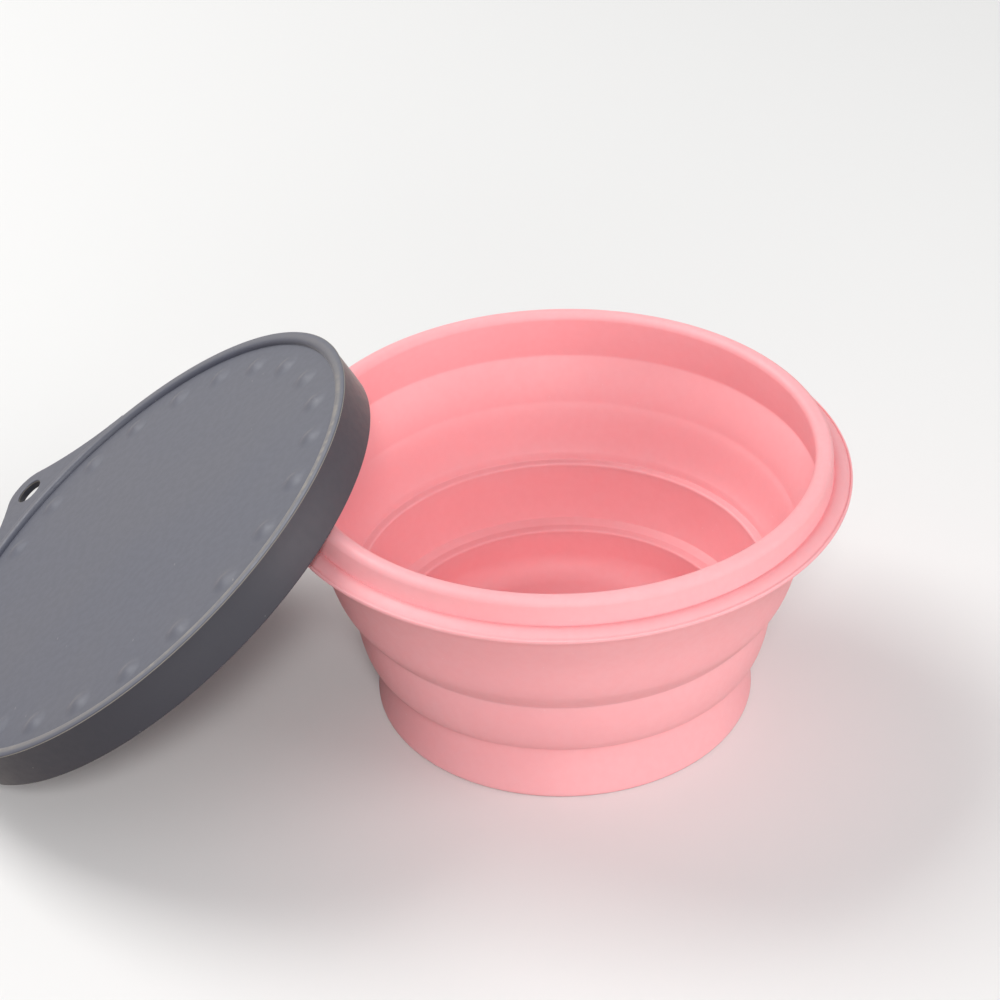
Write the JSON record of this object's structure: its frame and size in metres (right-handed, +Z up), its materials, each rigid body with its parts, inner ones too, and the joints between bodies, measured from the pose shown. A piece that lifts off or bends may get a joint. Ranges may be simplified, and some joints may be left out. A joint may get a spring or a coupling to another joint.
{
  "type": "collapsible bowl",
  "caption": "Round soft bowl with stepped folding walls, a rounded rim over a flange, and a flat press-on lid with a hanging tab, shown taken off and leaning on the rim.",
  "frame": {"origin": "centre of the flat underside of the base cup, on the bowl's axis, at the level of the table", "axes": "+Z up along the bowl's axis, -X towards the leaning lid, -Y towards the viewer of the picture"},
  "size_m": [0.256, 0.155, 0.0976],
  "materials": {
    "bowl_silicone": "satin pink silicone rubber",
    "lid_silicone": "matte blue-grey silicone rubber"
  },
  "bodies": {
    "base": {"base_cup": "bowl_silicone", "lower_fold": "bowl_silicone"},
    "lower_ring": {"lower_band": "bowl_silicone", "upper_fold": "bowl_silicone"},
    "upper_ring": {"upper_band": "bowl_silicone", "rim": "bowl_silicone"},
    "lid": {"lid_panel": "lid_silicone", "lid_skirt": "lid_silicone", "hanging_tab": "lid_silicone"}
  },
  "joints": [
    {"name": "lower_collapse", "type": "slide", "parent": "base", "child": "lower_ring", "axis": [0, 0, -1], "range_m": [0, 0.018], "deforming": ["lower_fold"]},
    {"name": "upper_collapse", "type": "slide", "parent": "lower_ring", "child": "upper_ring", "axis": [0, 0, -1], "range_m": [0, 0.0189], "deforming": ["upper_fold"]},
    {"name": "lid_lift", "type": "slide", "parent": "base", "child": "lid", "axis": [0, 0, 1], "range_m": [0, 0.12]}
  ],
  "couplings": [
    {"joint": "upper_collapse", "follows": "lower_collapse", "ratio": 1.05}
  ]
}
